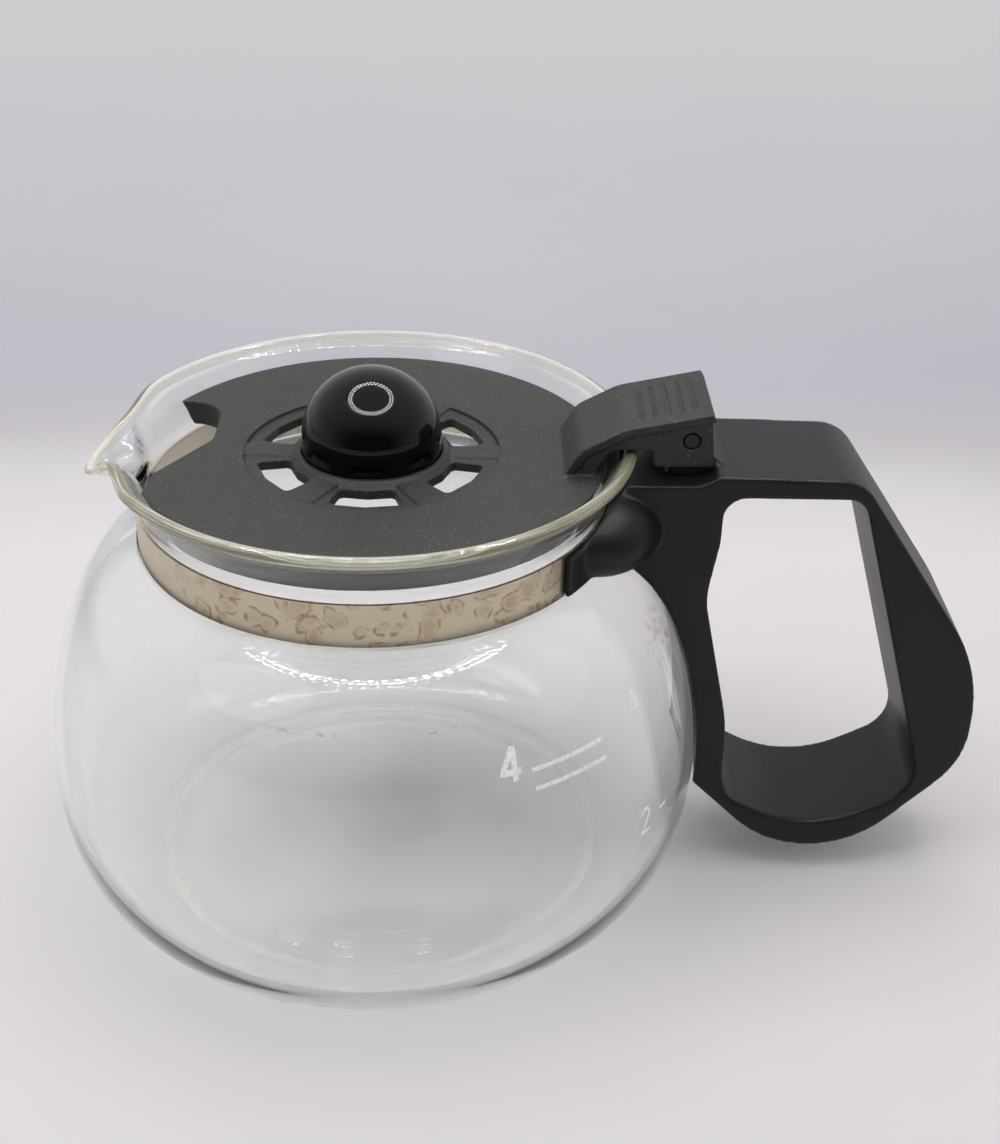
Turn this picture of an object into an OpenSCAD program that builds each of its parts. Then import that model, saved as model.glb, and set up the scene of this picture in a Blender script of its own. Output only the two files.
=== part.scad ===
// Four-cup glass carafe with a steel neck band, a clamped-on handle and a hinged thumb-lever lid.
// Millimetres, +Z up.  The origin is the centre of the foot on the table.
// The handle points along +X and the pouring lip along -X.

/* [Glass bowl] */
// Largest radius of the bowl
bowl_r = 61; // [58:0.5:74]
// Height of the largest radius above the table
belly_z = 26; // [22:1:30]
// Radius of the ring that the bowl stands on
foot_r = 45; // [38:1:48]
// Height where the shoulder meets the neck
shoulder_z = 70; // [62:1:84]
// Glass thickness
glass_wall = 2; // [1.6:0.1:2.6]
// Rise of the bottom inside the foot ring
punt_rise = 1.2; // [0.5:0.1:2]

/* [Glass neck and rim] */
// Outside radius of the neck
neck_r = 41.2; // [38:0.2:50]
// Height of the straight neck
neck_h = 8.3; // [7.5:0.1:12]
// Height of the flared rim above the neck
rim_h = 10.5; // [9:0.5:13]
// Outward flare of the rim
rim_flare = 5.3; // [4.5:0.1:6]
// Reach of the pouring lip past the rim
lip_reach = 3.5; // [2.5:0.1:5]
// Drop of the pouring lip below the rim
lip_drop = 4.7; // [3:0.1:6]

/* [Neck band] */
// Thickness of the steel strap
band_t = 0.5; // [0.4:0.1:0.8]
// Width of the steel strap
band_w = 7.8; // [6.5:0.1:8]
// Play between the strap and the glass
band_gap = 0.1; // [0.05:0.05:0.3]
// Distance between the inner faces of the two hooked ends
hook_gap = 8.4; // [7.5:0.1:10]
// How far the hooked ends stand out from the neck
hook_reach = 8; // [7:0.1:10]

/* [Clamp screw] */
// Radius of the screw shank
screw_r = 1.9; // [1.5:0.1:2.4]
// Radius of the screw head
head_r = 3.6; // [3.2:0.1:4.2]
// Height of the screw head
head_h = 2.2; // [1.8:0.1:2.8]
// Thickness of the nut plate
nut_t = 2.2; // [1.8:0.1:2.6]

/* [Handle] */
// Width of the handle across Y
handle_w = 24.8; // [20:0.2:32]
// Reach of the grip from the outside of the bowl
grip_reach = 50; // [42:1:62]
// Half of the height of the rounded saddle that hugs the neck
saddle_r = 7.7; // [6.5:0.1:8]
// How far the saddle bulges out from the neck
saddle_out = 11.3; // [9:0.1:12]
// Half of the angle between the middles of the saddle's two lobes
saddle_half = 16; // [14:0.5:20]
// Half of the angle that the thin keeper lips cover round the neck
keeper_half = 37.5; // [34:0.5:42]
// Play between the handle and the glass
handle_gap = 0.4; // [0.2:0.1:0.8]

/* [Hinge] */
// Radius of the hinge pin
pin_r = 1.25; // [1:0.05:1.5]
// Play between the pin and the lever
pin_play = 0.05; // [0.02:0.01:0.1]
// Distance of the pin outside the rim
pin_out = 8.5; // [8:0.1:10]
// Height of the pin above the rim
pin_up = 2.7; // [2.5:0.1:4]
// Play between the hinge lug and the inside of the lever
lug_play = 0.35; // [0.3:0.05:0.6]

/* [Lid] */
// Play between the lid plate and the glass
lid_play = 1.1; // [0.8:0.1:1.6]
// Depth of the lid plate below the rim
lid_sink = 3.9; // [3:0.1:5]
// Height of the lid with its skirt
lid_h = 4.5; // [4:0.1:5]
// Thickness of the lid plate
lid_t = 2; // [1.6:0.1:2.4]
// Width of the thumb lever
lever_w = 19.4; // [17:0.2:22]
// Thickness of the lever walls
lever_t = 1.6; // [1.4:0.1:1.8]
// Radius of the dished drip grid
grid_r = 22.5; // [21:0.5:26]
// Number of drip slots
slots = 6; // [5:1:8]

/* [Valve dome] */
// Radius of the dome
dome_r = 12.3; // [11:0.1:13]
// Thickness of the dome
dome_t = 1.8; // [1.4:0.1:2.2]
// Straight height under the dome's round top
dome_base_h = 3.5; // [2:0.1:5]

/* [Hidden] */
$fn = 96;
eps = 0.01;

// Glass: heights and radii that the other pieces are set from.
neck_top = shoulder_z + neck_h;
rim_z = neck_top + rim_h;
rim_r = neck_r + rim_flare;
bead_r = 0.55 * glass_wall;
lower_power = 2.2;
upper_power = 1.9;
side_steps = 24;
lip_slope = 57;
lip_x = -rim_r - lip_reach;
lip_z = rim_z - lip_drop;
lip_round = 14;
lip_run = lip_reach + 4.5;

// Neck band.
hole_play = 0.25;
band_in = neck_r + band_gap;
band_out = band_in + band_t;
band_z = shoulder_z + (neck_h - band_w) / 2;
band_mid = band_z + band_w / 2;
band_open = asin((hook_gap + band_t) / 2 / band_in);
hook_x = neck_r + hook_reach;
hook_h = band_w - 1.4;
hook_fold = (hook_gap - band_t) / 2 - screw_r - hole_play;

// Clamp.
nut_play = 0.1;
nut_w = hook_gap - 2 * nut_play;
nut_h = hook_h - 1;
nut_x = hook_x - band_t - nut_t;
thread_play = 0.02;
counterbore_play = 0.6;
counterbore_d = 3.2;
pocket_play = 0.6;

// Handle.
post_x = bowl_r + 0.3;
seat_x = post_x - counterbore_d;
top_z = rim_z - 2.5;
saddle_z = top_z - 1.8;
saddle_mid = band_mid + 1.8;
keeper_t = 1.1;
keeper_inset = 0.1;
drawn_post_x = 61.3;
drawn_reach = 50;
drawn_top_z = 86.3;
corner_steps = 9;
saddle_steps = 24;

// Hinge.
pin_x = rim_r + pin_out;
pin_z = rim_z + pin_up;
lug_r = pin_r + 1.15;
press_play = 0.02;
recess_r = pin_r + 0.35;
recess_d = 0.8;
pin_inset = 0.35;

// Lid.
lid_top = rim_z - lid_sink;
lid_bottom = lid_top - lid_h;
flare_slope = rim_flare / rim_h;
lid_r = neck_r - glass_wall + (lid_top - neck_top) * flare_slope - lid_play;
skirt_t = 1.5;
skirt_lean = 1.9;
grid_d = 0.8;
slot_in = dome_r + 2.3;
slot_out = grid_r - 2.2;
slot_angle = 360 / slots * 0.6;
hub_r = slot_in - 0.3;
hub_h = 1.1;
hub_play = 0.1;
spoke_w = 4.6;
spoke_h = 0.5;
grid_under = 0.6;
grid_low = lid_top - lid_t - grid_under;
slot_round = 0.9;
rib_t = 1.2;
notch_depth = 12.5;
notch_half = 18;
notch_wall = 1.4;

// Lever.
side_step = 0.4;
lever_half = lever_w / 2;
lug_half = lever_half - side_step - lever_t - lug_play;
lever_top = pin_z + lug_r + 2.8;
lever_back = pin_x + lug_r + 0.7;
cap_t = 1.3;
groove_x = lid_r + 2;
groove_z = lid_top + 8.7;
lever_low = pin_z - lug_r - 2.4;
rim_air = 1;
groove_n = 5;
groove_pitch = 2.25;
groove_r = 0.45;
groove_half = 6.6;

// Dome.
dome_seat = lid_top - grid_d;
dome_mid = dome_seat + dome_base_h;
plug_r = 7.9;
plug_t = 1.4;
plug_play = 0.05;
plug_low = grid_low - 1.2;
barb = 0.5;
barb_z = grid_low - 0.1;

// ---------------------------------------------------------------- outlines

function unit(v) = v / norm(v);

function reverse(v) = [for (i = [len(v) - 1 : -1 : 0]) v[i]];

// Height as a share of a superellipse quarter, and the radius that goes with it.
function quarter(t, power) = pow(max(0, 1 - pow(t, power)), 1 / power);

// Side of the bowl from the foot to the shoulder, moved inwards by the depth d.
function bowl_side(d) = concat(
    [for (i = [0 : side_steps])
        let (a = 90 * i / side_steps, t = cos(a))
        [foot_r - d + (bowl_r - foot_r) * quarter(t, lower_power), belly_z - (belly_z - d) * t]],
    [for (i = [1 : side_steps])
        let (a = 90 * i / side_steps, t = sin(a))
        [neck_r - d + (bowl_r - neck_r) * quarter(t, upper_power),
         belly_z + (shoulder_z - d - belly_z) * t]]);

// One rounded corner at b, between the corners a and c.
function corner(a, b, c) =
    let (p = [b[0], b[1]], u = unit([a[0], a[1]] - p), v = unit([c[0], c[1]] - p),
         half = acos(u * v) / 2, r = b[2], mid = p + unit(u + v) * r / sin(half),
         s = p + u * r / tan(half) - mid, e = p + v * r / tan(half) - mid,
         turn = atan2(s[0] * e[1] - s[1] * e[0], s * e), first = atan2(s[1], s[0]))
    [for (i = [0 : corner_steps])
        mid + r * [cos(first + turn * i / corner_steps), sin(first + turn * i / corner_steps)]];

// Closed outline through corners given as [x, z, radius].  A radius of 0 leaves a sharp corner.
function rounded(c) = [for (i = [0 : len(c) - 1])
    each (c[i][2] > 0
        ? corner(c[(i + len(c) - 1) % len(c)], c[i], c[(i + 1) % len(c)])
        : [[c[i][0], c[i][1]]])];

// Places drawn for the handle, moved with the grip's reach and the handle's height.
function gx(x) = post_x + (x - drawn_post_x) * grip_reach / drawn_reach;
function gz(z) = z * top_z / drawn_top_z;

// Extrudes an X-Z outline evenly to both sides of Y = 0.
module across(w) {
    rotate([90, 0, 0]) translate([0, 0, -w / 2]) linear_extrude(w) children();
}

// A round bar along Y.
module bar(x, z, r, w) {
    translate([x, w / 2, z]) rotate([90, 0, 0]) cylinder(h = w, r = r);
}

// ---------------------------------------------------------------- glass

module glass_outline() {
    bead_x = rim_r - bead_r;
    bead_z = rim_z - bead_r;
    rim_arc = [for (i = [0 : 8]) let (a = -25 + 230 * i / 8)
        [bead_x + bead_r * cos(a), bead_z + bead_r * sin(a)]];
    polygon(concat(
        [[0, punt_rise], [foot_r - 6, punt_rise], [foot_r - 3, 0]],
        bowl_side(0),
        [[neck_r, neck_top]],
        rim_arc,
        [[neck_r - glass_wall, neck_top]],
        reverse(bowl_side(glass_wall)),
        [[foot_r - 6, glass_wall + punt_rise], [0, glass_wall + punt_rise]]));
}

// Round funnel whose side leans out as far as the pouring lip.
module lip_cone(raise) {
    rise = lip_round / tan(lip_slope);
    h = rise + lip_drop;
    translate([lip_x + lip_round, 0, lip_z - rise + raise])
        cylinder(h = h, r1 = 0, r2 = h * tan(lip_slope));
}

// Everything above the plane that falls from the rim to the end of the lip.
module lip_trim() {
    spare = 20;
    fall_l = norm([lip_drop, lip_run]) + 8;
    translate([lip_x, 0, lip_z]) rotate([0, -atan2(lip_drop, lip_run), 0])
        translate([-spare, -rim_r, 0]) cube([spare + fall_l, 2 * rim_r, spare]);
}

// Space inside the neck and rim, for clearing the back of the lip.
module mouth_space() {
    translate([0, 0, neck_top]) cylinder(h = rim_h + 1, r1 = neck_r - glass_wall,
        r2 = neck_r - glass_wall + (rim_h + 1) * flare_slope);
    translate([0, 0, shoulder_z]) cylinder(h = neck_h + eps, r = neck_r - glass_wall);
}

module glass_vessel() {
    color([0.86, 0.90, 0.88, 0.4])
    difference() {
        union() {
            rotate_extrude($fn = 128) glass_outline();
            difference() {
                lip_cone(0);
                mouth_space();
            }
        }
        lip_cone(glass_wall / sin(lip_slope));
        lip_trim();
    }
}

// Outside of the glass and the band, grown by the handle's play.
module glass_clearance() {
    collar_r = band_out + handle_gap / 2;
    flare_z = neck_top - 1;
    rotate_extrude($fn = 128) {
        polygon(concat([[0, -1], [foot_r, -1]], bowl_side(-handle_gap), [[0, shoulder_z]]));
        translate([0, shoulder_z - 1]) square([collar_r, neck_h + 1]);
        polygon([[0, flare_z], [neck_r + handle_gap, flare_z], [rim_r + handle_gap, rim_z - bead_r - 1],
                 [rim_r + handle_gap, rim_z + 3], [0, rim_z + 3]]);
    }
}

// ---------------------------------------------------------------- band and clamp

// One hooked end of the strap, standing out from the neck and folded towards the middle.
module band_hook() {
    x0 = band_in * cos(band_open);
    translate([x0, hook_gap / 2, band_mid - hook_h / 2]) cube([hook_x - x0, band_t, hook_h]);
    translate([hook_x - band_t, hook_gap / 2 - hook_fold, band_mid - hook_h / 2])
        cube([band_t, hook_fold + band_t, hook_h]);
}

module neck_band() {
    color("silver") {
        rotate([0, 0, band_open]) rotate_extrude(angle = 360 - 2 * band_open, $fn = 128)
            translate([band_in, band_z]) square([band_t, band_w]);
        band_hook();
        mirror([0, 1, 0]) band_hook();
    }
}

module nut_plate() {
    color("dimgray")
    difference() {
        translate([nut_x - nut_play, -nut_w / 2, band_mid - nut_h / 2]) cube([nut_t, nut_w, nut_h]);
        translate([nut_x - 1, 0, band_mid]) rotate([0, 90, 0])
            cylinder(h = nut_t + 2, r = screw_r + thread_play, $fn = 48);
    }
}

module clamp_screw() {
    cross_w = 0.9;
    cross_l = 3.6;
    cross_d = 1.2;
    cross_turn = 20;
    chamfer = 0.8;
    tip_x = nut_x - 1.2;
    color("gray")
    difference() {
        union() {
            translate([tip_x, 0, band_mid]) rotate([0, 90, 0])
                cylinder(h = seat_x - tip_x + 0.5, r = screw_r, $fn = 48);
            translate([seat_x, 0, band_mid]) rotate([0, 90, 0]) {
                cylinder(h = head_h - chamfer, r = head_r, $fn = 64);
                translate([0, 0, head_h - chamfer])
                    cylinder(h = chamfer, r1 = head_r, r2 = head_r - 0.9, $fn = 64);
            }
        }
        for (a = [0, 90])
            translate([seat_x + head_h - cross_d, 0, band_mid]) rotate([a + cross_turn, 0, 0])
                translate([0, -cross_l / 2, -cross_w / 2]) cube([cross_d + 1, cross_l, cross_w]);
    }
}

// ---------------------------------------------------------------- handle

// Hollow round the pin, from the saddle's top up to the top bar, that the lever swings in.
seat_r = pin_z - saddle_z;
seat_end = acos((pin_z - top_z) / seat_r);
hinge_seat = [for (i = [0 : corner_steps])
    let (a = seat_end * i / corner_steps) [pin_x + seat_r * sin(a), pin_z - seat_r * cos(a), 0]];

// Outside line of the post and the grip loop.
module handle_outline() {
    polygon(rounded([
        [neck_r - 6, saddle_z, 0],
        each hinge_seat,
        [gx(84.5), top_z - 0.4, 8],
        [gx(111), gz(47.5), 36],
        [gx(111), gz(27), 17],
        [gx(84), gz(-2.2), 20],
        [post_x - 2.3, gz(22.5), 9],
        [neck_r - 6, gz(40), 0]]));
}

// Finger opening of the grip loop.
module grip_outline() {
    polygon(rounded([
        [post_x - 0.2, gz(82.3), 4],
        [post_x - 0.2, gz(73.5), 20],
        [post_x - 1.9, gz(62), 16],
        [gx(65.4), gz(35), 38],
        [gx(65.6), gz(18.4), 6],
        [gx(82.5), gz(9.4), 22],
        [gx(103.6), gz(20.5), 8],
        [gx(85.2), gz(82.2), 4]]));
}

// Half oval section of the saddle, standing out from x = 0.
saddle_oval = [for (i = [0 : saddle_steps])
    let (a = -90 + 180 * i / saddle_steps) [saddle_out * cos(a), saddle_r * sin(a)]];

// Pad that hugs the neck, with a round lobe at each end.
module saddle() {
    mid_r = neck_r - 0.4;
    translate([0, 0, saddle_mid]) {
        rotate([0, 0, -saddle_half]) rotate_extrude(angle = 2 * saddle_half, $fn = 96)
            translate([mid_r, 0]) polygon(saddle_oval);
        for (a = [-saddle_half, saddle_half])
            rotate([0, 0, a]) translate([mid_r, 0, 0]) rotate_extrude($fn = 72) polygon(saddle_oval);
    }
}

// Thin lips that reach past the pad over the band.
module keeper_lips() {
    rotate([0, 0, -keeper_half]) rotate_extrude(angle = 2 * keeper_half, $fn = 96)
        translate([band_out + handle_gap / 2 - eps, band_z + keeper_inset])
            square([keeper_t, band_w - 2 * keeper_inset]);
}

// Lug that carries the pin, with a foot that widens under the lever's swing.
module hinge_lug() {
    foot_z = pin_z - lug_r - 0.5;
    root_z = saddle_z - 1;
    across(2 * lug_half) polygon([
        [pin_x - lug_r, pin_z], [pin_x - lug_r, foot_z], [pin_x - lug_r - 1.2, root_z],
        [post_x + 0.5, root_z], [post_x + 0.5, saddle_z + 1.2], [pin_x + lug_r + 0.8, foot_z],
        [pin_x + lug_r, foot_z], [pin_x + lug_r, pin_z]]);
    bar(pin_x, pin_z, lug_r, 2 * lug_half);
}

module handle() {
    pocket_w = hook_gap + 2 * band_t + 2 * pocket_play;
    pocket_h = hook_h + 2 * pocket_play;
    color([0.09, 0.095, 0.10])
    difference() {
        union() {
            across(handle_w) difference() {
                handle_outline();
                grip_outline();
            }
            saddle();
            keeper_lips();
            hinge_lug();
        }
        glass_clearance();
        translate([neck_r - 4, -pocket_w / 2, band_mid - pocket_h / 2])
            cube([hook_reach + 4 + pocket_play, pocket_w, pocket_h]);
        translate([neck_r, 0, band_mid]) rotate([0, 90, 0])
            cylinder(h = post_x - neck_r + 5, r = screw_r + hole_play, $fn = 48);
        translate([seat_x, 0, band_mid]) rotate([0, 90, 0])
            cylinder(h = counterbore_d + 5, r = head_r + counterbore_play, $fn = 64);
        bar(pin_x, pin_z, pin_r + press_play, handle_w);
    }
}

module hinge_pin() {
    pin_w = lever_w - 2 * side_step - 2 * pin_inset;
    color([0.05, 0.05, 0.05]) bar(pin_x, pin_z, pin_r, pin_w);
}

// ---------------------------------------------------------------- lid

// Pouring notch, slanted along the near side and round at its inner end.
module notch_outline() {
    edge = lid_r + 4;
    deep = -lid_r + notch_depth;
    polygon(rounded([
        [-edge, -notch_half - 6, 0],
        [deep - 9, -notch_half - 6, 0],
        [deep - 7.8, -notch_half + 7.4, 1.5],
        [deep + 0.5, 3.2, 5],
        [deep + 0.3, notch_half - 0.1, 6],
        [-edge, notch_half + 2.6, 0]]));
}

module slot_outline() {
    reach = 2 * slot_out;
    offset(r = slot_round, $fn = 20) offset(delta = -slot_round) intersection() {
        difference() {
            circle(r = slot_out);
            circle(r = slot_in);
        }
        polygon([[0, 0], reach * [cos(-slot_angle / 2), sin(-slot_angle / 2)], [reach, 0],
                 reach * [cos(slot_angle / 2), sin(slot_angle / 2)]]);
    }
}

// Lid disc with the skirt's lean, grown by g and cut off flat at z0 and z1.
module lid_cone(g, z0, z1) {
    lean = skirt_lean / lid_h;
    translate([0, 0, z0]) cylinder(h = z1 - z0, r1 = lid_r + g - (lid_top - z0) * lean,
        r2 = lid_r + g - (lid_top - z1) * lean, $fn = 128);
}

module lid_plate() {
    under = lid_top - lid_t;
    difference() {
        lid_cone(0, lid_bottom, lid_top);
        lid_cone(-skirt_t, lid_bottom - 1, under);
        translate([0, 0, dome_seat]) cylinder(h = 2, r = grid_r);
    }
    // Stiffening ring round the drip grid.
    translate([0, 0, under - rib_t]) linear_extrude(rib_t + 0.3) difference() {
        circle(r = grid_r + rib_t);
        circle(r = grid_r - 0.4);
    }
    // Floor of the grid, with a raised spoke between each pair of slots and a hub round the dome.
    translate([0, 0, grid_low]) cylinder(h = dome_seat - grid_low, r = grid_r);
    for (i = [0 : slots - 1])
        rotate([0, 0, 360 / slots * i]) translate([dome_r + 1, -spoke_w / 2, dome_seat - 0.5])
            cube([grid_r - dome_r - 0.5, spoke_w, spoke_h + 0.5]);
    translate([0, 0, dome_seat]) cylinder(h = hub_h, r1 = hub_r, r2 = hub_r - 1);
}

// Slots, seat and snap hole of the drip grid.
module grid_cuts() {
    translate([0, 0, dome_seat]) cylinder(h = hub_h + 1, r = dome_r + hub_play);
    translate([0, 0, grid_low - 1]) cylinder(h = 4, r = plug_r + plug_play);
    for (i = [0 : slots - 1])
        rotate([0, 0, 360 / slots * (i + 0.5)]) translate([0, 0, grid_low - 1])
            linear_extrude(5) slot_outline();
}

// Corners of the lever's top, from the lid up over the rim and back to the end of the thumb pad.
lever_over = [
    [lid_r - 8.3, lid_top - 0.5, 0],
    [lid_r - 5.2, lid_top + 4.8, 5],
    [groove_x, groove_z, 9],
    [lever_back, lever_top, 0]];

// Corners of the sides' lower edge, from the back round the rim and down to the lid.
lever_under = [
    [lever_back + 1, lever_low, 0.5],
    [rim_r + 2.1, lever_low, 0.8],
    [rim_r + 2.1, rim_z + rim_air, 0.6],
    [lid_r - 0.4, rim_z + rim_air, 2.5],
    [lid_r - 3.2, lid_top - 0.5, 0]];

function lever_top_line() = concat(
    [[lever_over[0][0], lever_over[0][1]]],
    corner(lever_over[0], lever_over[1], lever_over[2]),
    corner(lever_over[1], lever_over[2], lever_over[3]),
    [[lever_over[3][0], lever_over[3][1]]]);

// Points of a line moved down and back by the depth d, for a wall of that depth.
function below(line, d) = [for (p = line) p + d * [0.6, -1]];

module lever_cap() {
    polygon(concat(lever_top_line(), reverse(below(lever_top_line(), cap_t))));
}

// Room between the lever's sides, open below and at the back.
module lever_inside() {
    line = below(lever_top_line(), lever_t);
    end = line[len(line) - 1];
    intersection() {
        polygon(concat(line, [[lever_back + 5, end[1]], [lever_back + 5, line[0][1]]]));
        translate([0, lid_top]) square([lever_back + 5, lever_top - lid_top]);
    }
}

module lever() {
    difference() {
        union() {
            across(lever_w) lever_cap();
            across(lever_w - 2 * side_step) polygon(rounded(concat(lever_over, lever_under)));
        }
        across(2 * (lug_half + lug_play)) lever_inside();
        for (i = [0 : groove_n - 1])
            lever_groove(pin_x + 0.6 - i * groove_pitch);
        bar(pin_x, pin_z, pin_r + pin_play, lever_w + 2);
        for (s = [-1, 1])
            translate([0, s * (lever_half - side_step - recess_d / 2 + 0.5), 0])
                bar(pin_x, pin_z, recess_r, recess_d + 1);
    }
}

// One groove across the straight part of the lever's top.
module lever_groove(x) {
    slope = (lever_top - groove_z) / (lever_back - groove_x);
    bar(x, groove_z + (x - groove_x) * slope + 0.1, groove_r, 2 * groove_half);
}

module lid() {
    color([0.16, 0.165, 0.165])
    difference() {
        union() {
            lid_plate();
            // Wall round the pouring notch.
            intersection() {
                lid_cone(0, lid_bottom, lid_top);
                translate([0, 0, lid_bottom]) linear_extrude(lid_h) offset(r = notch_wall, $fn = 20) notch_outline();
            }
            lever();
        }
        translate([0, 0, lid_bottom - 1]) linear_extrude(lid_h + 2) notch_outline();
        grid_cuts();
    }
}

module valve_dome() {
    inner = dome_r - dome_t;
    color([0.03, 0.03, 0.035])
    rotate_extrude($fn = 128) {
        // Round top and straight base.
        difference() {
            union() {
                translate([0, dome_seat]) square([dome_r, dome_base_h]);
                intersection() {
                    translate([0, dome_mid]) circle(r = dome_r);
                    translate([0, dome_mid - eps]) square([dome_r + 1, dome_r + 1]);
                }
            }
            translate([0, dome_seat + dome_t]) square([inner, dome_base_h - dome_t + eps]);
            intersection() {
                translate([0, dome_mid]) circle(r = inner);
                translate([0, dome_mid - eps]) square([dome_r, dome_r]);
            }
            translate([0, dome_seat - 1]) square([plug_r - plug_t, dome_t + 2]);
        }
        // Plug with a snap barb under the lid.
        polygon([[plug_r - plug_t, dome_seat + dome_t / 2], [plug_r - plug_t, plug_low], [plug_r, plug_low],
                 [plug_r + barb, barb_z], [plug_r, barb_z], [plug_r, dome_seat + dome_t / 2]]);
    }
}

glass_vessel();
neck_band();
nut_plate();
clamp_screw();
handle();
hinge_pin();
lid();
valve_dome();
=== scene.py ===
import math

import bmesh
import bpy
from mathutils import Matrix, Vector


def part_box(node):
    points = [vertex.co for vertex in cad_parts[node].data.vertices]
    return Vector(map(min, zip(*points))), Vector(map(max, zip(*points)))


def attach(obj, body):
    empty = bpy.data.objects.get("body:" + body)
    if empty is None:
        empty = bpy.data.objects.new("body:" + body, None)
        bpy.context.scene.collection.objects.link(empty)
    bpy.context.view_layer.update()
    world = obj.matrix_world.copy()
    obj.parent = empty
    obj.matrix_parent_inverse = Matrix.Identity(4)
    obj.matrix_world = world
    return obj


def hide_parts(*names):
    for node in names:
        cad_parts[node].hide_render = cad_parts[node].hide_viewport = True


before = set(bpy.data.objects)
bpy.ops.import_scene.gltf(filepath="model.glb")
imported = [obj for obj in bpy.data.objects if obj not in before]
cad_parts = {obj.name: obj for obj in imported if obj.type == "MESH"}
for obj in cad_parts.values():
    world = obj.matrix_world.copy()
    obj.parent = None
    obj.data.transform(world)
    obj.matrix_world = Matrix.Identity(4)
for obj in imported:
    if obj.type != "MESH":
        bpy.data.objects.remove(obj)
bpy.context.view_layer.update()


# ---------------------------------------------------------------- camera, table and light
# The carafe is looked down on at thirty degrees, as it stands on a pale matt table whose colour is painted to
# fade into shade behind it. Soft lamps stand on both sides, and rings of small lamps hang over it.

def turn(degrees, axis):
    """A turn in degrees about one axis, as a matrix."""
    return Matrix.Rotation(math.radians(degrees), 4, axis)


camera_data = bpy.data.cameras.new("camera")
camera_data.lens = 50.9
camera_data.sensor_width = 36
camera = bpy.data.objects.new("camera", camera_data)
camera_place = (0.0190, -0.2571, 0.2105)
swing, look_down, roll = -0.88, 30.33, 1.17
camera.matrix_world = (Matrix.Translation(camera_place)
                       @ turn(swing, "Z") @ turn(90 - look_down, "X") @ turn(roll, "Z"))
camera_data.clip_start = 0.01
bpy.context.scene.collection.objects.link(camera)
bpy.context.scene.camera = camera
bpy.context.scene.view_settings.view_transform = "Standard"


def linear(hex_colour):
    """An sRGB hex colour as the linear RGBA that shaders take."""
    parts = [int(hex_colour[i:i + 2], 16) / 255 for i in (1, 3, 5)]
    return [c / 12.92 if c <= 0.04045 else ((c + 0.055) / 1.055) ** 2.4 for c in parts] + [1.0]


def add(tree, kind, inputs=None, **settings):
    """Adds a node. Inputs are socket names or numbers, each with a value or an output to link."""
    node = tree.nodes.new(kind)
    for name, value in settings.items():
        setattr(node, name, value)
    for name, value in (inputs or {}).items():
        if isinstance(value, bpy.types.NodeSocket):
            tree.links.new(value, node.inputs[name])
        else:
            node.inputs[name].default_value = value
    return node


def new_material(name):
    """An empty node material and its output node."""
    material = bpy.data.materials.new(name)
    material.use_nodes = True
    material.node_tree.nodes.clear()
    output = material.node_tree.nodes.new("ShaderNodeOutputMaterial")
    return material, material.node_tree, output


def ramp(tree, factor, stops):
    """A colour ramp through (place, hex colour) stops."""
    node = add(tree, "ShaderNodeValToRGB", {"Fac": factor})
    while len(node.color_ramp.elements) < len(stops):
        node.color_ramp.elements.new(0.5)
    for element, (place, colour) in zip(node.color_ramp.elements, stops):
        element.position = place
        element.color = linear(colour)
    return node.outputs["Color"]


def new_object(name, mesh):
    """A mesh put into the scene as an object."""
    thing = bpy.data.objects.new(name, mesh)
    bpy.context.scene.collection.objects.link(thing)
    return thing


def table_paint():
    """Matt white table top, its colour painted with grey shade in a band behind the carafe and painted paler
    again far off.
    """
    material, tree, output = new_material("table")
    place = add(tree, "ShaderNodeTexCoord").outputs["Object"]
    parts = add(tree, "ShaderNodeSeparateXYZ", {"Vector": place})
    cloud = add(tree, "ShaderNodeTexNoise", {"Vector": place, "Scale": 5.0, "Detail": 3.0})
    wobble = add(tree, "ShaderNodeMath", {0: cloud.outputs["Fac"], 1: 0.10, 2: parts.outputs["Y"]},
                 operation="MULTIPLY_ADD")
    depth = add(tree, "ShaderNodeMapRange", {"Value": wobble.outputs[0], "From Min": -0.20,
                                             "From Max": 1.0})
    # Painted shade and light: the colour darkens in a wobbling band behind the carafe and grows paler far
    # off, in place of how the light falls there.
    colour = ramp(tree, depth.outputs[0], [
        (0.0, "#d3d1d2"), (0.15, "#d9d6d9"), (0.22, "#dfdcde"), (0.30, "#e1dcdf"), (0.34, "#d5d3d5"),
        (0.365, "#c4c1c5"), (0.40, "#c0c0c8"), (0.50, "#cfcfd3"), (0.80, "#e6e6e6"), (1.0, "#ececeb")])
    shader = add(tree, "ShaderNodeBsdfPrincipled", {"Base Color": colour, "Roughness": 0.75,
                                                    "Specular IOR Level": 0.2})
    tree.links.new(shader.outputs[0], output.inputs["Surface"])
    return material


shape = bmesh.new()
bmesh.ops.create_grid(shape, x_segments=8, y_segments=8, size=4.0)
table_mesh = bpy.data.meshes.new("table")
shape.to_mesh(table_mesh)
table = new_object("table", table_mesh)
table.data.materials.append(table_paint())
table.location.z = -0.0001


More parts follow.
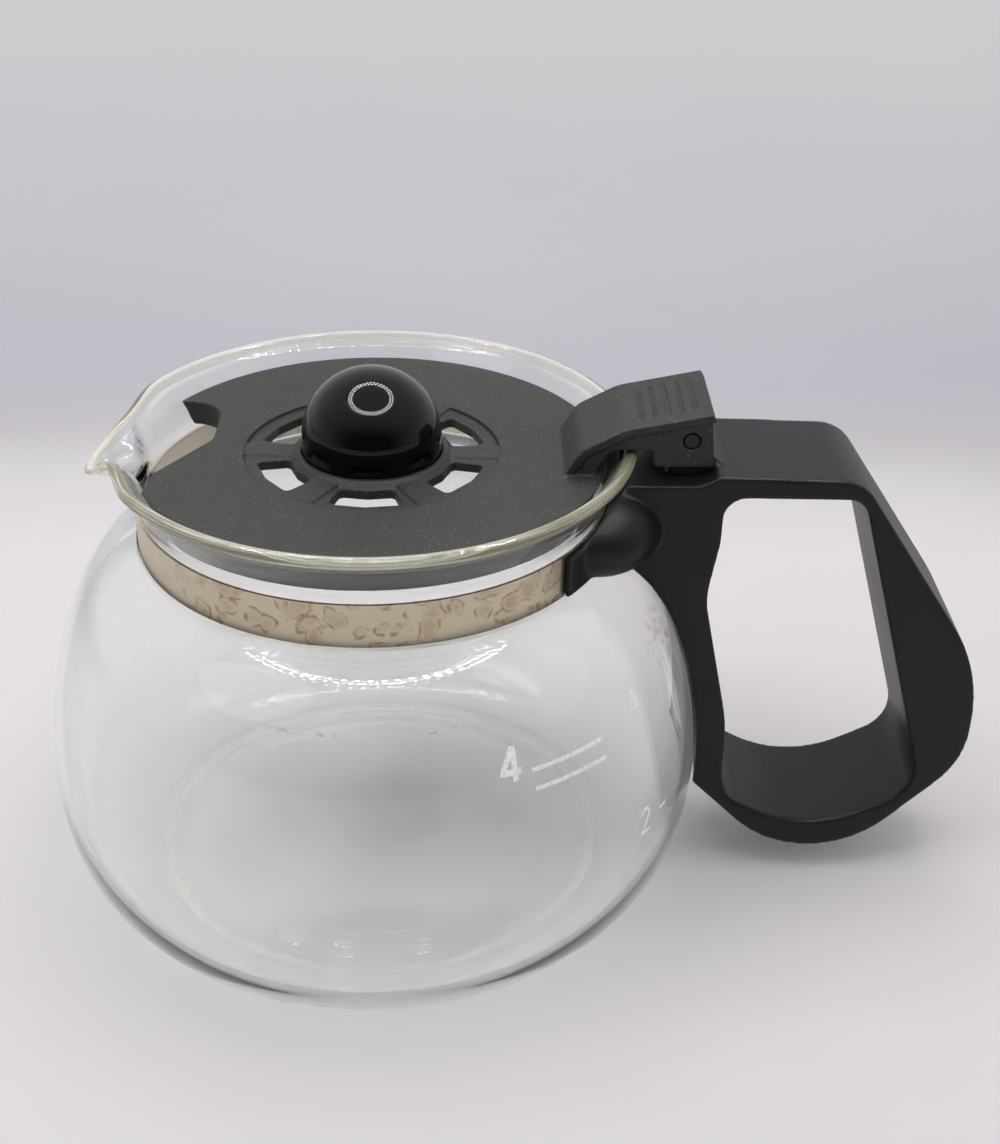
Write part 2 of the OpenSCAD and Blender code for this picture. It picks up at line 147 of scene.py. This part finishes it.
def room():
    """Pale walls all round, darkest behind the camera and brightest overhead."""
    world = bpy.data.worlds.new("room")
    world.use_nodes = True
    tree = world.node_tree
    tree.nodes.clear()
    look = add(tree, "ShaderNodeTexCoord").outputs["Generated"]
    way = add(tree, "ShaderNodeSeparateXYZ", {"Vector": look})
    behind = add(tree, "ShaderNodeMapRange", {"Value": way.outputs["Y"], "From Min": -0.85,
                                              "From Max": 0.25})
    above = add(tree, "ShaderNodeMapRange", {"Value": way.outputs["Z"], "From Min": 0.35,
                                             "From Max": 0.95, "To Max": 0.55})
    level = add(tree, "ShaderNodeMath", {0: behind.outputs[0], 1: above.outputs[0]}, operation="ADD")
    colour = ramp(tree, level.outputs[0], [(0.0, "#4c4f54"), (0.45, "#c4c5ca"), (1.0, "#e9e9ec")])
    light = add(tree, "ShaderNodeBackground", {"Color": colour, "Strength": 0.95})
    output = tree.nodes.new("ShaderNodeOutputWorld")
    tree.links.new(light.outputs[0], output.inputs["Surface"])
    bpy.context.scene.world = world


room()


def area_light(name, place, aim, size, power, colour):
    """A soft round lamp that lights the carafe but doesn't show as a disc in its gloss."""
    data = bpy.data.lights.new(name, "AREA")
    data.shape = "DISK"
    data.size = size
    data.energy = power
    data.color = linear(colour)[:3]
    lamp = bpy.data.objects.new(name, data)
    lamp.location = place
    lamp.visible_glossy = False
    lamp.rotation_mode = "QUATERNION"
    lamp.rotation_quaternion = (Vector(aim) - Vector(place)).to_track_quat("-Z", "Y")
    bpy.context.scene.collection.objects.link(lamp)


area_light("window", (-0.75, -0.55, 0.95), (0, 0, 0.04), 0.9, 3.0, "#f4f6ff")
area_light("fill", (0.9, -0.3, 0.6), (0, 0, 0.04), 0.8, 1.0, "#fff6ee")


def ring_lamp(name, rows, dot, strength, seen_only=False):
    """A ring of small round lamps over the carafe. Rows are (radius, count), and dot is a lamp's radius."""
    material, tree, output = new_material(name)
    shader = add(tree, "ShaderNodeEmission", {"Color": linear("#fff8f0"), "Strength": strength})
    if seen_only:
        path = add(tree, "ShaderNodeLightPath")
        direct = add(tree, "ShaderNodeMath", {0: path.outputs["Diffuse Depth"], 1: 0.5},
                     operation="LESS_THAN")
        level = add(tree, "ShaderNodeMath", {0: direct.outputs[0], 1: strength}, operation="MULTIPLY")
        tree.links.new(level.outputs[0], shader.inputs["Strength"])
    tree.links.new(shader.outputs[0], output.inputs["Surface"])
    shape = bmesh.new()
    for radius, count in rows:
        for i in range(count):
            angle = 2 * math.pi * i / count
            place = Matrix.Translation((radius * math.cos(angle), radius * math.sin(angle), 0))
            bmesh.ops.create_circle(shape, cap_ends=True, segments=8, radius=dot, matrix=place)
    mesh = bpy.data.meshes.new(name)
    shape.to_mesh(mesh)
    ring = new_object(name, mesh)
    ring.data.materials.append(material)
    ring.location = (0.0, -0.02, 0.42)
    ring.rotation_euler.x = math.pi
    return ring


# One ring gives the light. The other is only seen: a ring in the dome and dotted arcs in the glass.
light_ring = ring_lamp("ring_light", ((0.148, 84), (0.162, 92)), 0.0036, 36.0)
light_ring.visible_glossy = False
glint_ring = ring_lamp("ring_glints", ((0.166, 40), (0.192, 46)), 0.0052, 105.0, seen_only=True)
glint_ring.visible_diffuse = False


# ---------------------------------------------------------------- glass vessel
# Blown borosilicate glass: a full bowl that stands on a ring, a straight neck for the band and a
# flared rim. The lip was pulled out and down with a tool while the rim was soft.

MM = 0.001
WALL = 2.0 * MM
bowl_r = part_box("glass_vessel")[1].y
rim_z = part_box("glass_vessel")[1].z
# The flare is 10.5 mm high and 5.3 mm wide, over a straight neck 8.3 mm high.
neck_top = rim_z - 10.5 * MM
neck_z = neck_top - 8.3 * MM
neck_r = 41.2 * MM
rim_r = neck_r + 5.3 * MM
foot_r = 45.0 * MM
belly_z = 26.0 * MM
# The middle of the base stands clear of the table, and comes down to the foot in a slow curve.
punt = 1.2 * MM
punt_out = 12.0 * MM
punt_run = 8.0 * MM
# The lip lies a few degrees towards the front. The rim droops over a wider angle than the beak
# takes up, and draws in between the two.
lip_turn = 4.5
lip_reach = 3.5 * MM
lip_drop = 5.6 * MM
beak_half = 11.5
beak_fade = 9.5
droop_half = 32
pinch_at = 16
pinch_half = 15
pinch = 1.1 * MM
# Powers of the superellipses that the bowl's side follows below and above the belly.
LOW_POWER = 2.2
HIGH_POWER = 1.9


def quarter(t, power):
    """Height of a quarter superellipse of size 1 at a distance t from its middle."""
    return max(0.0, 1 - t ** power) ** (1 / power)


def bowl_side(depth, steps=40):
    """Side of the bowl from foot to shoulder as (radius, height), moved inwards by a depth."""
    low = [(foot_r - depth + (bowl_r - foot_r) * quarter(math.cos(a), LOW_POWER),
            belly_z - (belly_z - depth) * math.cos(a))
           for a in (0.5 * math.pi * i / steps for i in range(steps + 1))]
    high = [(neck_r - depth + (bowl_r - neck_r) * quarter(math.sin(a), HIGH_POWER),
             belly_z + (neck_z - depth - belly_z) * math.sin(a))
            for a in (0.5 * math.pi * i / steps for i in range(1, steps + 1))]
    return low + high


def glass_profile():
    """The wall's whole section, from the middle underneath, out, up, over the rim and down inside."""
    rise = [(punt_run * k, punt * (0.5 + 0.5 * math.cos(math.pi * k))) for k in (i / 8 for i in range(9))]
    outside = [(0.0, punt)] + [(foot_r - punt_out + r, z) for r, z in rise]
    outside += [(foot_r - 1.6 * MM, 0.0), (foot_r - 0.4 * MM, 0.12 * MM)]
    outside += bowl_side(0)[1:-1]
    bend = [(neck_r + 0.35 * MM, neck_z - 0.25 * MM), (neck_r, neck_z + 0.6 * MM),
            (neck_r, neck_top - 0.8 * MM)]
    middle = rim_z - WALL / 2
    flare = [(neck_r + (rim_r - neck_r) * (0.72 * k + 0.28 * k * k), neck_top + (middle - neck_top) * k)
             for k in (i / 10 for i in range(11))]
    inner_flare = [(r - WALL * 0.97, z + WALL * 0.16) for r, z in flare]
    # The fired rim swells a little past the wall.
    fat = 1.12 * WALL / 2
    tall = 1.06 * WALL / 2
    bead = [(rim_r - WALL / 2 + fat * math.cos(a), rim_z - tall + tall * math.sin(a))
            for a in (math.radians(d) for d in range(-20, 201, 20))]
    inside = [(0.0, punt + WALL)] + [(foot_r - punt_out - 0.5 * MM + r, z + WALL) for r, z in rise]
    return (outside + bend + flare[1:-1] + bead + inner_flare[-2:0:-1]
            + [(neck_r - WALL, neck_top - 0.8 * MM), (neck_r - WALL, neck_z - WALL * 0.3)]
            + bowl_side(WALL)[-2:2:-1] + inside[::-1])


def lathe(name, profile, turns=192):
    """A closed shape turned round Z from a section whose two ends lie on the axis."""
    shape = bmesh.new()
    rings = []
    for radius, height in profile:
        if radius < 1e-6:
            rings.append([shape.verts.new((0, 0, height))])
            continue
        rings.append([shape.verts.new((radius * math.cos(2 * math.pi * i / turns),
                                       radius * math.sin(2 * math.pi * i / turns), height))
                      for i in range(turns)])
    for below, above in zip(rings, rings[1:]):
        for i in range(turns):
            j = (i + 1) % turns
            corners = (below[i % len(below)], below[j % len(below)],
                       above[j % len(above)], above[i % len(above)])
            shape.faces.new(dict.fromkeys(corners))
    bmesh.ops.recalc_face_normals(shape, faces=shape.faces)
    mesh = bpy.data.meshes.new(name)
    shape.to_mesh(mesh)
    mesh.polygons.foreach_set("use_smooth", [True] * len(mesh.polygons))
    return mesh


def smooth_step(x):
    """0 below 0, 1 above 1, and an S curve between."""
    x = min(1.0, max(0.0, x))
    return x * x * (3 - 2 * x)


def mark_bead(mesh):
    """Notes how far each point belongs to the fired bead, before the lip is pulled."""
    share = mesh.attributes.new("bead", "FLOAT", "POINT")
    share.data.foreach_set("value", [
        smooth_step((v.co.z - rim_z + 2.1 * MM) / (0.9 * MM)) for v in mesh.vertices])


def pull_lip(mesh):
    """Pulls the rim at -X out and down into a blunt beak. The rim draws in on both sides of it."""
    for vertex in mesh.vertices:
        x, y, z = vertex.co
        if z < neck_top - 1 * MM:
            continue
        radius = math.hypot(x, y)
        away = abs(math.degrees(math.atan2(-y, -x)) - lip_turn)
        height = smooth_step((z - neck_top) / (rim_z - neck_top))
        droop = smooth_step(1 - away / droop_half)
        beside = smooth_step(1 - abs(away - pinch_at) / pinch_half)
        beak = smooth_step((beak_half - away) / beak_fade)
        out = height * (beak * lip_reach - beside * pinch)
        drop = height * height * (0.3 * droop + 0.7 * beak) * lip_drop
        scale = (radius + out) / radius
        vertex.co = (x * scale, y * scale, z - drop)


def borosilicate():
    """Clear borosilicate glass, IOR 1.47. Fire polished, so its gloss is nearly perfect. The wall is clear
    face on, and edge on it carries a painted pale highlight. Lamps shine through it, because its shadow is
    nearly clear."""
    material, tree, output = new_material("borosilicate_glass")
    place = add(tree, "ShaderNodeTexCoord").outputs["Object"]
    parts = add(tree, "ShaderNodeSeparateXYZ", {"Vector": place})
    # Waves left by blowing, a few centimetres long and some hundredths of a millimetre deep.
    wave = add(tree, "ShaderNodeTexNoise", {"Vector": place, "Scale": 30.0, "Detail": 1.0})
    bump = add(tree, "ShaderNodeBump", {"Height": wave.outputs["Fac"], "Strength": 0.12, "Distance": 0.0006})
    glass = add(tree, "ShaderNodeBsdfPrincipled", {
        "Base Color": linear("#fcfdfc"), "Roughness": 0.0, "IOR": 1.47, "Transmission Weight": 1.0,
        "Normal": bump.outputs[0]})
    # The fired bead round the rim is straw yellow glass. Its pale, lit look, strongest at the front and faint
    # at the back, is painted light held in the bead.
    straw = add(tree, "ShaderNodeTexNoise", {"Vector": place, "Scale": 110.0, "Detail": 3.0})
    straw_tint = ramp(tree, straw.outputs["Fac"], [(0.35, "#d3cfa0"), (0.65, "#e8e5c4")])
    bead = add(tree, "ShaderNodeBsdfPrincipled", {"Base Color": straw_tint, "Roughness": 0.08,
                                                  "IOR": 1.47, "Transmission Weight": 0.35})
    on_bead = add(tree, "ShaderNodeAttribute", attribute_name="bead")
    depth = add(tree, "ShaderNodeMapRange", {"Value": parts.outputs["Y"], "From Min": -20 * MM,
                                             "From Max": 30 * MM, "To Min": 0.44, "To Max": 0.12})
    held = add(tree, "ShaderNodeMath", {0: on_bead.outputs["Fac"], 1: depth.outputs[0]},
               operation="MULTIPLY")
    body = add(tree, "ShaderNodeMixShader", {0: held.outputs[0], 1: glass.outputs[0], 2: bead.outputs[0]})
    # Where the wall is seen along its length, a pale white is mixed in: painted light for the bright room
    # caught edge on, weaker up the neck.
    slope = add(tree, "ShaderNodeLayerWeight", {"Blend": 0.5})
    grazing_glow = add(tree, "ShaderNodeMapRange", {"Value": slope.outputs["Facing"], "From Min": 0.64,
                                             "From Max": 1.0, "To Max": 0.8})
    low = add(tree, "ShaderNodeMapRange", {"Value": parts.outputs["Z"], "From Min": 66 * MM,
                                           "From Max": 74 * MM, "To Min": 1.0, "To Max": 0.35})
    painted_edge_glow = add(tree, "ShaderNodeMath", {0: grazing_glow.outputs[0], 1: low.outputs[0]}, operation="MULTIPLY")
    # The ring that it stands on is ground flat: it scatters light, so it looks pale.
    flat = add(tree, "ShaderNodeVectorMath", {0: place, 1: (1.0, 1.0, 0.0)}, operation="MULTIPLY")
    reach = add(tree, "ShaderNodeVectorMath", {0: flat.outputs[0]}, operation="LENGTH")
    ring = add(tree, "ShaderNodeMath", {0: reach.outputs["Value"], 1: foot_r - 2.6 * MM, 2: 1.0 * MM},
               operation="COMPARE")
    under = add(tree, "ShaderNodeMapRange", {"Value": parts.outputs["Z"], "From Min": 1.5 * MM,
                                             "From Max": 1.0 * MM, "To Max": 0.5})
    ground = add(tree, "ShaderNodeMath", {0: ring.outputs[0], 1: under.outputs[0]}, operation="MULTIPLY")
    pale = add(tree, "ShaderNodeMath", {0: painted_edge_glow.outputs[0], 1: ground.outputs[0]}, operation="MAXIMUM")
    # One pale surface serves both the ground ring's real frost and the painted edge light.
    edge = add(tree, "ShaderNodeBsdfPrincipled", {"Base Color": linear("#f0f2ec"), "Roughness": 0.05})
    wall = add(tree, "ShaderNodeMixShader", {0: pale.outputs[0], 1: body.outputs[0], 2: edge.outputs[0]})
    # Dried coffee: a thin broken line on the shoulder and a smear beside the handle.
    speck = add(tree, "ShaderNodeTexNoise", {"Vector": place, "Scale": 420.0, "Detail": 4.0})
    blotch = add(tree, "ShaderNodeTexNoise", {"Vector": place, "Scale": 60.0, "Detail": 2.0})
    level = add(tree, "ShaderNodeMath", {0: parts.outputs["Z"], 1: 61.0 * MM, 2: 0.35 * MM},
                operation="COMPARE")
    front = add(tree, "ShaderNodeMapRange", {"Value": parts.outputs["Y"], "From Min": -49.0 * MM,
                                             "From Max": -50.5 * MM})
    line = add(tree, "ShaderNodeMath", {0: level.outputs[0], 1: front.outputs[0]}, operation="MULTIPLY")
    smear = add(tree, "ShaderNodeMapRange", {"Value": parts.outputs["X"], "From Min": 47 * MM,
                                             "From Max": 51 * MM})
    high = add(tree, "ShaderNodeMapRange", {"Value": parts.outputs["Z"], "From Min": 52 * MM,
                                            "From Max": 62 * MM})
    near = add(tree, "ShaderNodeMath", {0: smear.outputs[0], 1: high.outputs[0]}, operation="MULTIPLY")
    where = add(tree, "ShaderNodeMath", {0: line.outputs[0], 1: near.outputs[0]}, operation="MAXIMUM")
    grains = add(tree, "ShaderNodeMapRange", {"Value": speck.outputs["Fac"], "From Min": 0.52,
                                              "From Max": 0.68})
    patch = add(tree, "ShaderNodeMapRange", {"Value": blotch.outputs["Fac"], "From Min": 0.50,
                                             "From Max": 0.62, "To Max": 0.8})
    both = add(tree, "ShaderNodeMath", {0: grains.outputs[0], 1: patch.outputs[0]}, operation="MULTIPLY")
    dried = add(tree, "ShaderNodeMath", {0: both.outputs[0], 1: where.outputs[0]}, operation="MULTIPLY")
    film = add(tree, "ShaderNodeBsdfPrincipled", {"Base Color": linear("#8d6c42"), "Roughness": 0.7})
    skin = add(tree, "ShaderNodeMixShader", {0: dried.outputs[0], 1: wall.outputs[0], 2: film.outputs[0]})
    clear = add(tree, "ShaderNodeBsdfTransparent", {"Color": linear("#f3f5f4")})
    ray = add(tree, "ShaderNodeLightPath")
    mix = add(tree, "ShaderNodeMixShader", {0: ray.outputs["Is Shadow Ray"], 1: skin.outputs[0],
                                            2: clear.outputs[0]})
    tree.links.new(mix.outputs[0], output.inputs["Surface"])
    return material


vessel_mesh = lathe("vessel", glass_profile())
mark_bead(vessel_mesh)
pull_lip(vessel_mesh)
vessel = new_object("vessel", vessel_mesh)
vessel.data.materials.append(borosilicate())
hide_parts("glass_vessel")
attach(vessel, "carafe")


# ---------------------------------------------------------------- neck band
# A strip of thin stainless steel pulled round the neck and closed by the screw behind the saddle.
# It is satin rolled, and coffee has dried on it in brown rings.

def stained_steel():
    """Satin stainless steel: a warm grey metal with soft reflections and brown dried bubbles."""
    material, tree, output = new_material("satin_stainless_steel")
    place = add(tree, "ShaderNodeTexCoord").outputs["Object"]
    parts = add(tree, "ShaderNodeSeparateXYZ", {"Vector": place})
    # The strip is cleaner on the side away from the handle.
    side = add(tree, "ShaderNodeMapRange", {"Value": parts.outputs["X"], "From Min": -34 * MM,
                                            "From Max": -24 * MM})
    # Dried bubbles 3 to 5 mm across: brown inside, with a darker broken outline.
    drift = add(tree, "ShaderNodeTexNoise", {"Vector": place, "Scale": 260.0, "Detail": 3.0})
    shift = add(tree, "ShaderNodeVectorMath", {0: drift.outputs["Color"], 1: (4.2 * MM,) * 3, 2: place},
                operation="MULTIPLY_ADD")
    bubbles = add(tree, "ShaderNodeTexVoronoi", {"Vector": shift.outputs[0], "Scale": 235.0})
    inner = add(tree, "ShaderNodeMapRange", {"Value": bubbles.outputs["Distance"], "From Min": 0.42,
                                             "From Max": 0.18, "To Max": 0.6})
    rise = add(tree, "ShaderNodeMapRange", {"Value": bubbles.outputs["Distance"], "From Min": 0.34,
                                            "From Max": 0.42})
    fall = add(tree, "ShaderNodeMapRange", {"Value": bubbles.outputs["Distance"], "From Min": 0.52,
                                            "From Max": 0.44})
    outline = add(tree, "ShaderNodeMath", {0: rise.outputs[0], 1: fall.outputs[0]}, operation="MULTIPLY")
    worn = add(tree, "ShaderNodeTexNoise", {"Vector": place, "Scale": 480.0, "Detail": 3.0})
    broken = add(tree, "ShaderNodeMapRange", {"Value": worn.outputs["Fac"], "From Min": 0.42,
                                              "From Max": 0.62})
    rings = add(tree, "ShaderNodeMath", {0: outline.outputs[0], 1: broken.outputs[0]}, operation="MULTIPLY")
    blot = add(tree, "ShaderNodeMath", {0: inner.outputs[0], 1: worn.outputs["Fac"]}, operation="MULTIPLY")
    mark = add(tree, "ShaderNodeMath", {0: rings.outputs[0], 1: blot.outputs[0]}, operation="MAXIMUM")
    stain = add(tree, "ShaderNodeMath", {0: mark.outputs[0], 1: side.outputs[0]}, operation="MULTIPLY")
    colour = ramp(tree, stain.outputs[0], [(0.0, "#cfc5ae"), (0.4, "#bba98f"), (1.0, "#a08b6f")])
    shader = add(tree, "ShaderNodeBsdfPrincipled", {"Base Color": colour, "Metallic": 1.0, "Roughness": 0.36,
                                                    "Anisotropic": 0.4})
    tree.links.new(shader.outputs[0], output.inputs["Surface"])
    return material


def dress(node, material):
    """Gives a CAD node's own mesh a material in each of its slots."""
    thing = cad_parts[node]
    if not thing.material_slots:
        thing.data.materials.append(material)
    for slot in thing.material_slots:
        slot.material = material


dress("neck_band", stained_steel())


# ---------------------------------------------------------------- nut plate and clamp screw
# The screw passes through the handle's post and between the band's two hooks, into a small threaded
# plate caught behind them, and draws the band tight. Both are zinc-plated mild steel.

def zinc_plate():
    """Zinc plating: a pale bluish metal with a cloudy crystal grain, each crystal about 1 mm across."""
    material, tree, output = new_material("zinc_plated_steel")
    place = add(tree, "ShaderNodeTexCoord").outputs["Object"]
    grain = add(tree, "ShaderNodeTexVoronoi", {"Vector": place, "Scale": 900.0})
    colour = ramp(tree, grain.outputs["Distance"], [(0.0, "#c3c8cc"), (1.0, "#a2a8ae")])
    shader = add(tree, "ShaderNodeBsdfPrincipled", {"Base Color": colour, "Metallic": 1.0, "Roughness": 0.33})
    tree.links.new(shader.outputs[0], output.inputs["Surface"])
    return material


zinc = zinc_plate()
dress("nut_plate", zinc)
dress("clamp_screw", zinc)


# ---------------------------------------------------------------- handle
# One moulding in black glass-filled polypropylene: a saddle and thin lips against the neck, a lug for
# the pin, and a D-shaped grip loop whose post stands off the bowl. The mould rounds every edge.

def moulded_black(name, colour, light, roughness, grain):
    """Black moulded plastic: a soft sheen, broken up by the mould's eroded grain. The grain is drawn
    at 0.4 mm, coarser than the real one, so that it shows. The cloudy shade is about 17 mm long."""
    material, tree, output = new_material(name)
    place = add(tree, "ShaderNodeTexCoord").outputs["Object"]
    cloud = add(tree, "ShaderNodeTexNoise", {"Vector": place, "Scale": 60.0, "Detail": 4.0})
    shade = ramp(tree, cloud.outputs["Fac"], [(0.3, colour), (0.75, light)])
    rough = add(tree, "ShaderNodeMapRange", {"Value": cloud.outputs["Fac"], "To Min": roughness - 0.05,
                                             "To Max": roughness + 0.07})
    fine = add(tree, "ShaderNodeTexNoise", {"Vector": place, "Scale": 2400.0, "Detail": 1.0})
    bump = add(tree, "ShaderNodeBump", {"Height": fine.outputs["Fac"], "Strength": grain,
                                        "Distance": 0.00005})
    shader = add(tree, "ShaderNodeBsdfPrincipled", {"Base Color": shade, "Roughness": rough.outputs[0],
                                                    "Specular IOR Level": 0.28, "Normal": bump.outputs[0]})
    tree.links.new(shader.outputs[0], output.inputs["Surface"])
    return material


def softened(node, name, cell, passes):
    """A new piece in a CAD node's shape with the moulding's small edge rounds."""
    piece = new_object(name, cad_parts[node].data.copy())
    bpy.context.view_layer.objects.active = piece
    remesh = piece.modifiers.new("remesh", "REMESH")
    remesh.mode = "VOXEL"
    remesh.voxel_size = cell
    remesh.use_smooth_shade = True
    ease = piece.modifiers.new("ease", "SMOOTH")
    ease.factor = 0.5
    ease.iterations = passes
    bpy.context.view_layer.update()
    mesh = bpy.data.meshes.new_from_object(piece.evaluated_get(bpy.context.evaluated_depsgraph_get()))
    piece.modifiers.clear()
    piece.data = mesh
    mesh.materials.clear()
    mesh.polygons.foreach_set("use_smooth", [True] * len(mesh.polygons))
    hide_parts(node)
    return piece


grip = softened("handle", "grip", 0.42 * MM, 7)
grip.data.materials.append(moulded_black("glass_filled_polypropylene", "#0e1113", "#15181b", 0.40, 0.35))
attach(grip, "carafe")


# ---------------------------------------------------------------- hinge pin
# A plain pin moulded in black nylon. It is pushed through both sides of the thumb lever and the lug
# on top of the handle, and its fit in the handle holds it.

dress("hinge_pin", moulded_black("moulded_nylon", "#17191a", "#1d1f20", 0.35, 0.2))


# ---------------------------------------------------------------- lid
# A thin moulded disc with a skirt, a notch over the lip, a ring of slots round the dome and a thumb
# lever with five finger grooves. It is matt and holds dust.

def dusty_polypropylene():
    """Moulded polypropylene: matt charcoal with a 0.5 mm grain, and pale specks of dust smaller than
    that, in cells of 0.7 mm of which about one in four holds a speck."""
    material, tree, output = new_material("matt_polypropylene")
    place = add(tree, "ShaderNodeTexCoord").outputs["Object"]
    cloud = add(tree, "ShaderNodeTexNoise", {"Vector": place, "Scale": 75.0, "Detail": 5.0})
    shade = ramp(tree, cloud.outputs["Fac"], [(0.3, "#191b1a"), (0.75, "#242625")])
    specks = add(tree, "ShaderNodeTexVoronoi", {"Vector": place, "Scale": 1500.0})
    keep = add(tree, "ShaderNodeSeparateXYZ", {"Vector": specks.outputs["Color"]})
    few = add(tree, "ShaderNodeMath", {0: keep.outputs["X"], 1: 0.74}, operation="GREATER_THAN")
    spot = add(tree, "ShaderNodeMapRange", {"Value": specks.outputs["Distance"], "From Min": 0.30,
                                            "From Max": 0.12, "To Max": 0.42})
    dust = add(tree, "ShaderNodeMath", {0: spot.outputs[0], 1: few.outputs[0]}, operation="MULTIPLY")
    colour = add(tree, "ShaderNodeMix", {"Factor": dust.outputs[0], 6: shade, 7: linear("#8b8a85")},
                 data_type="RGBA")
    rough = add(tree, "ShaderNodeMapRange", {"Value": cloud.outputs["Fac"], "To Min": 0.5, "To Max": 0.68})
    fine = add(tree, "ShaderNodeTexNoise", {"Vector": place, "Scale": 1900.0, "Detail": 1.0})
    bump = add(tree, "ShaderNodeBump", {"Height": fine.outputs["Fac"], "Strength": 0.5, "Distance": 0.00006})
    shader = add(tree, "ShaderNodeBsdfPrincipled", {"Base Color": colour.outputs[2],
                                                    "Roughness": rough.outputs[0],
                                                    "Normal": bump.outputs[0]})
    tree.links.new(shader.outputs[0], output.inputs["Surface"])
    return material


cover = softened("lid", "cover", 0.2 * MM, 2)
cover.data.materials.append(dusty_polypropylene())
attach(cover, "lid")


# ---------------------------------------------------------------- valve dome
# A separate polished cap snapped into the middle of the lid. Coffee runs in round its foot.

def polished_abs():
    """Black ABS from a polished mould: sharp reflections, dulled in patches of about 4 mm by scuffs."""
    material, tree, output = new_material("polished_abs")
    place = add(tree, "ShaderNodeTexCoord").outputs["Object"]
    scuff = add(tree, "ShaderNodeTexNoise", {"Vector": place, "Scale": 240.0, "Detail": 6.0,
                                             "Distortion": 1.0})
    rough = add(tree, "ShaderNodeMapRange", {"Value": scuff.outputs["Fac"], "From Min": 0.45,
                                             "From Max": 0.75, "To Min": 0.05, "To Max": 0.14})
    shader = add(tree, "ShaderNodeBsdfPrincipled", {"Base Color": linear("#030404"),
                                                    "Roughness": rough.outputs[0],
                                                    "Specular IOR Level": 0.28})
    tree.links.new(shader.outputs[0], output.inputs["Surface"])
    return material


dress("valve_dome", polished_abs())


# ---------------------------------------------------------------- cup marks
# White enamel fired on the bowl at the front right: the figures 4 and 2, level bars and a small
# triangle. Each is a film a few hundredths of a millimetre thick.

def enamel():
    """Fired white enamel, worn in flecks of about 0.7 mm so that the glass shows through."""
    material, tree, output = new_material("fired_enamel")
    place = add(tree, "ShaderNodeTexCoord").outputs["Object"]
    wear = add(tree, "ShaderNodeTexNoise", {"Vector": place, "Scale": 1500.0, "Detail": 3.0})
    cover_up = add(tree, "ShaderNodeMapRange", {"Value": wear.outputs["Fac"], "From Min": 0.35,
                                                "From Max": 0.55, "To Min": 0.75, "To Max": 1.0})
    shader = add(tree, "ShaderNodeBsdfPrincipled", {"Base Color": linear("#f4f4f2"), "Roughness": 0.5,
                                                    "Alpha": cover_up.outputs[0]})
    tree.links.new(shader.outputs[0], output.inputs["Surface"])
    return material


PRINT_LIFT = 0.04 * MM


def on_bowl(across, up, azimuth, height):
    """A point of the print on the bowl, across and up in metres from the print's own corner."""
    z = height + up
    if z > belly_z:
        radius = neck_r + (bowl_r - neck_r) * quarter((z - belly_z) / (neck_z - belly_z), HIGH_POWER)
    else:
        radius = foot_r + (bowl_r - foot_r) * quarter((belly_z - z) / belly_z, LOW_POWER)
    angle = math.radians(azimuth) + across / radius
    radius += PRINT_LIFT
    return Vector((radius * math.cos(angle), radius * math.sin(angle), z))


def stroke(shape, points, width, azimuth, height):
    """A flat band of enamel along a line of (across, up) points in millimetres."""
    line = []
    for (ax, ay), (bx, by) in zip(points, points[1:]):
        steps = max(1, int(math.hypot(bx - ax, by - ay) / 0.5))
        line += [(ax + (bx - ax) * k / steps, ay + (by - ay) * k / steps) for k in range(steps)]
    line.append(points[-1])
    sides = []
    for i, (x, y) in enumerate(line):
        before, after = line[max(0, i - 1)], line[min(len(line) - 1, i + 1)]
        dx, dy = after[0] - before[0], after[1] - before[1]
        length = math.hypot(dx, dy)
        nx, ny = -dy / length * width / 2, dx / length * width / 2
        sides.append([shape.verts.new(on_bowl((x + s * nx) * MM, (y + s * ny) * MM, azimuth, height))
                      for s in (-1, 1)])
    for (a, b), (c, d) in zip(sides, sides[1:]):
        shape.faces.new((a, c, d, b))


def arc(x, y, r, start, end):
    """Points on an arc of radius r round (x, y), from one angle to another."""
    return [(x + r * math.cos(math.radians(start + (end - start) * k / 10)),
             y + r * math.sin(math.radians(start + (end - start) * k / 10))) for k in range(11)]


shape = bmesh.new()
FOUR = ([(2.4, 5.4), (0.2, 1.6), (3.6, 1.6)], [(2.5, 5.6), (2.5, 0.0)])
TWO = (arc(1.6, 3.9, 1.2, 165, -35) + [(0.4, 0.4)], [(0.1, 0.35), (3.1, 0.35)])
for azimuth, height, figure, width in ((-66, 51.2, FOUR, 1.0), (-38.5, 29.2, TWO, 0.8)):
    for points in figure:
        stroke(shape, points, width, azimuth, height * MM)
for azimuth, height, length in ((-32.5, 31.5, 2.4), (-60.5, 52.2, 15.0), (-60.2, 49.0, 15.0)):
    stroke(shape, [(0, 0), (length, 0)], 0.7, azimuth, height * MM)
stroke(shape, [(0, 0), (2.6, 0), (1.3, 3.0), (0, 0)], 0.45, -37.0, 53.2 * MM)
marks_mesh = bpy.data.meshes.new("cup_marks")
shape.to_mesh(marks_mesh)
marks = new_object("cup_marks", marks_mesh)
marks.data.materials.append(enamel())
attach(marks, "carafe")
